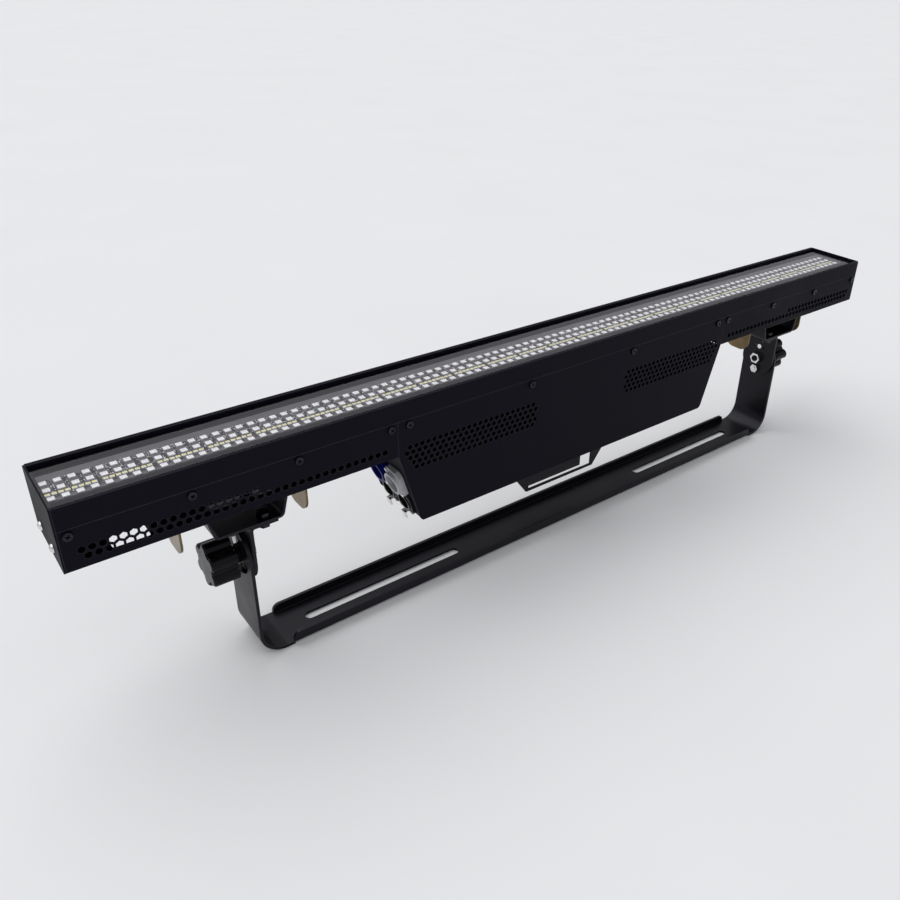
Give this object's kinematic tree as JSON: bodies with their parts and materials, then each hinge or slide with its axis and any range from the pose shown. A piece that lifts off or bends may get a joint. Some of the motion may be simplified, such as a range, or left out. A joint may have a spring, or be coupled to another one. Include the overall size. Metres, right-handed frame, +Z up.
{
  "type": "LED wall washer light",
  "caption": "Slim near-black LED wall washer bar with a vented power box, tilting in a U-shaped floor yoke with lobed clamp knobs.",
  "frame": {"origin": "on the floor, under the middle of the lamp bar, halfway between front and rear", "axes": "+X along the bar towards its plain right end, -Y the front with the honeycomb vents, +Z up out of the lit window"},
  "size_m": [1.0224, 0.079, 0.224],
  "materials": {
    "body_paint": "fine textured powder coat, near-black",
    "bracket_paint": "satin powder coat, near-black",
    "window": "clear polycarbonate sheet",
    "seal": "black silicone",
    "led_board": "white solder resist with LEDs",
    "bright_steel": "bright plated steel",
    "black_steel": "black oxide screws and bolts",
    "wing_gold": "yellow zinc plate",
    "knob_black": "moulded black nylon",
    "socket_black": "moulded black",
    "socket_blue": "moulded royal blue",
    "socket_grey": "moulded light grey",
    "panel_black": "moulded black",
    "supply_case": "dark enclosed case",
    "board_green": "green circuit board",
    "fan_black": "moulded black"
  },
  "bodies": {
    "yoke_body": {"yoke": "bracket_paint"},
    "housing": {"bar_cover_left": "body_paint", "bar_cover_right": "body_paint", "box_cover": "body_paint", "box_side_left": "body_paint", "box_side_right": "body_paint", "bracket_bolts": "black_steel", "control_panel": "panel_black", "cover_screws": "black_steel", "data_socket_in": "socket_black", "data_socket_out": "socket_black", "driver_board": "board_green", "end_plate_left": "body_paint", "end_plate_right": "body_paint", "end_plate_screws": "bright_steel", "fan_frame_left": "fan_black", "fan_frame_right": "fan_black", "guide_bolts": "bright_steel", "hat_bracket_left": "bracket_paint", "hat_bracket_right": "bracket_paint", "lamp_extrusion": "body_paint", "led_board": "led_board", "panel_guard": "bracket_paint", "pivot_nuts": "bright_steel", "pivot_washers": "bright_steel", "power_inlet": "socket_blue", "power_outlet": "socket_grey", "power_supply": "supply_case", "socket_screws": "bright_steel", "swivel_plate_left": "bracket_paint", "swivel_plate_right": "bracket_paint", "window_cover": "window", "window_gasket": "seal"},
    "knob_left_body": {"knob_left": "knob_black"},
    "knob_right_body": {"knob_right": "knob_black"},
    "wing_left_inner_body": {"wing_left_inner": "wing_gold"},
    "wing_left_outer_body": {"wing_left_outer": "wing_gold"},
    "wing_right_inner_body": {"wing_right_inner": "wing_gold"},
    "wing_right_outer_body": {"wing_right_outer": "wing_gold"},
    "fan_rotor_left_body": {"fan_rotor_left": "fan_black"},
    "fan_rotor_right_body": {"fan_rotor_right": "fan_black"},
    "latch_tab_in_body": {"latch_tab_in": "bright_steel"},
    "latch_tab_out_body": {"latch_tab_out": "bright_steel"},
    "menu_button_1_body": {"menu_button_1": "panel_black"},
    "menu_button_2_body": {"menu_button_2": "panel_black"},
    "menu_button_3_body": {"menu_button_3": "panel_black"},
    "menu_button_4_body": {"menu_button_4": "panel_black"}
  },
  "joints": [
    {"name": "bar_tilt", "type": "hinge", "parent": "yoke_body", "child": "housing", "pos_m": [0, -0.002, 0.1041], "axis": [1, 0, 0], "range_deg": [-60, 60]},
    {"name": "knob_left_turn", "type": "hinge", "parent": "housing", "child": "knob_left_body", "pos_m": [-0.3895, -0.002, 0.1041], "axis": [-1, 0, 0], "range_deg": [0, 360]},
    {"name": "wing_left_inner_turn", "type": "hinge", "parent": "housing", "child": "wing_left_inner_body", "pos_m": [-0.311, -0.002, 0.152], "axis": [0, 0, 1], "range_deg": [0, 90]},
    {"name": "wing_left_outer_turn", "type": "hinge", "parent": "housing", "child": "wing_left_outer_body", "pos_m": [-0.421, -0.002, 0.152], "axis": [0, 0, 1], "range_deg": [0, 90]},
    {"name": "fan_left_spin", "type": "hinge", "parent": "housing", "child": "fan_rotor_left_body", "pos_m": [-0.14, 0, 0.1822], "axis": [0, 0, 1], "continuous": true},
    {"name": "knob_right_turn", "type": "hinge", "parent": "housing", "child": "knob_right_body", "pos_m": [0.3895, -0.002, 0.1041], "axis": [1, 0, 0], "range_deg": [0, 360]},
    {"name": "wing_right_inner_turn", "type": "hinge", "parent": "housing", "child": "wing_right_inner_body", "pos_m": [0.311, -0.002, 0.152], "axis": [0, 0, 1], "range_deg": [0, 90]},
    {"name": "wing_right_outer_turn", "type": "hinge", "parent": "housing", "child": "wing_right_outer_body", "pos_m": [0.421, -0.002, 0.152], "axis": [0, 0, 1], "range_deg": [0, 90]},
    {"name": "fan_right_spin", "type": "hinge", "parent": "housing", "child": "fan_rotor_right_body", "pos_m": [0.14, 0, 0.1822], "axis": [0, 0, 1], "continuous": true},
    {"name": "latch_tab_in_press", "type": "slide", "parent": "housing", "child": "latch_tab_in_body", "axis": [0.9606, 0, 0.2779], "range_m": [0, 0.002], "stiffness_N_per_m": 200, "springref_m": -0.0005},
    {"name": "latch_tab_out_press", "type": "slide", "parent": "housing", "child": "latch_tab_out_body", "axis": [0.9606, 0, 0.2779], "range_m": [0, 0.002], "stiffness_N_per_m": 200, "springref_m": -0.0005},
    {"name": "menu_button_1_press", "type": "slide", "parent": "housing", "child": "menu_button_1_body", "axis": [0, -1, 0], "range_m": [0, 0.0008], "stiffness_N_per_m": 400, "springref_m": -0.0005},
    {"name": "menu_button_2_press", "type": "slide", "parent": "housing", "child": "menu_button_2_body", "axis": [0, -1, 0], "range_m": [0, 0.0008], "stiffness_N_per_m": 400, "springref_m": -0.0005},
    {"name": "menu_button_3_press", "type": "slide", "parent": "housing", "child": "menu_button_3_body", "axis": [0, -1, 0], "range_m": [0, 0.0008], "stiffness_N_per_m": 400, "springref_m": -0.0005},
    {"name": "menu_button_4_press", "type": "slide", "parent": "housing", "child": "menu_button_4_body", "axis": [0, -1, 0], "range_m": [0, 0.0008], "stiffness_N_per_m": 400, "springref_m": -0.0005}
  ]
}
